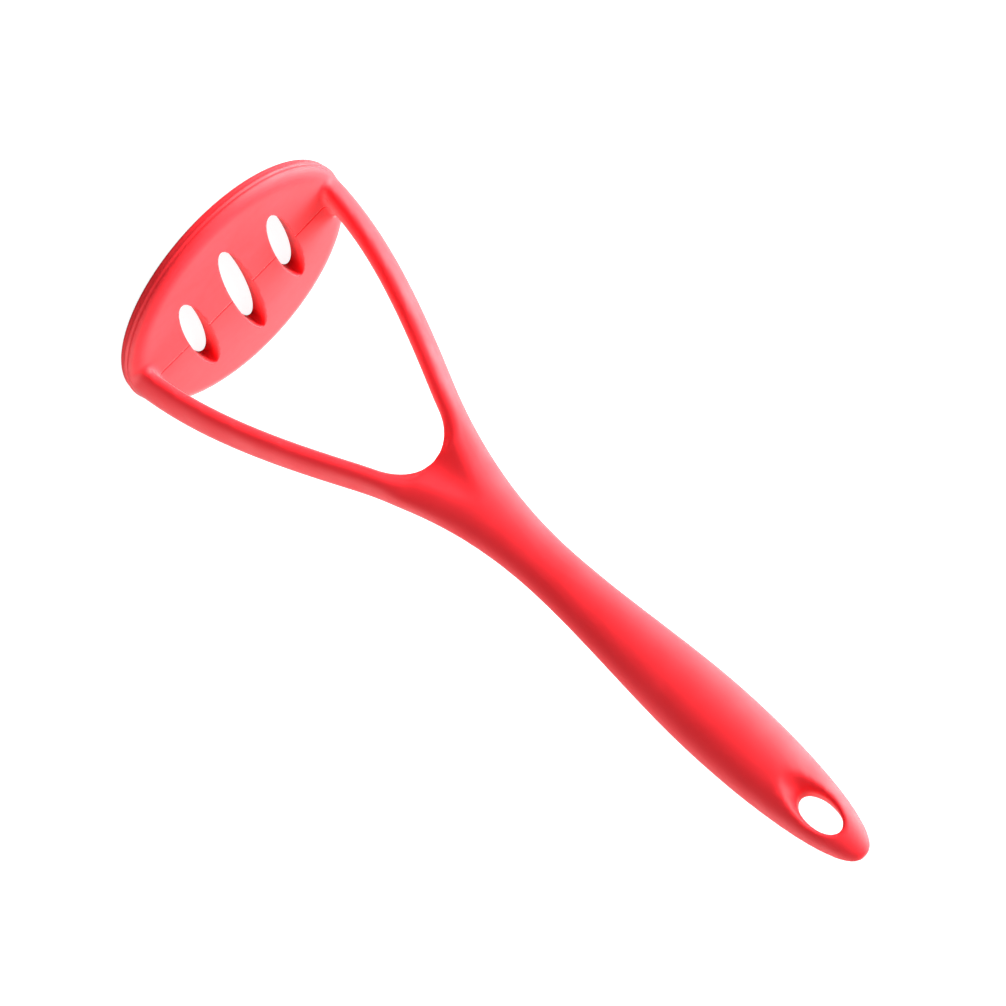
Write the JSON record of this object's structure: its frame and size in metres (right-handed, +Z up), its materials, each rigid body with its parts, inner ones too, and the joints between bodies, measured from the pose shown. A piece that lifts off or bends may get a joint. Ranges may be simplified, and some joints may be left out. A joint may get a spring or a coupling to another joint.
{
  "type": "potato masher",
  "caption": "Silicone-covered potato masher: an oval slotted plate on a forked handle with a hanging hole in its rounded end.",
  "frame": {"origin": "middle of the plate's flat underside", "axes": "+Z up along the handle, X across the two arms of the fork, Y along the plate's slots"},
  "size_m": [0.0908, 0.1094, 0.27],
  "materials": {
    "red_silicone": "soft matte moulded silicone",
    "nylon": "as moulded, glass-filled nylon"
  },
  "bodies": {
    "root": {"silicone_skin": "red_silicone", "nylon_frame": "nylon"}
  },
  "joints": []
}
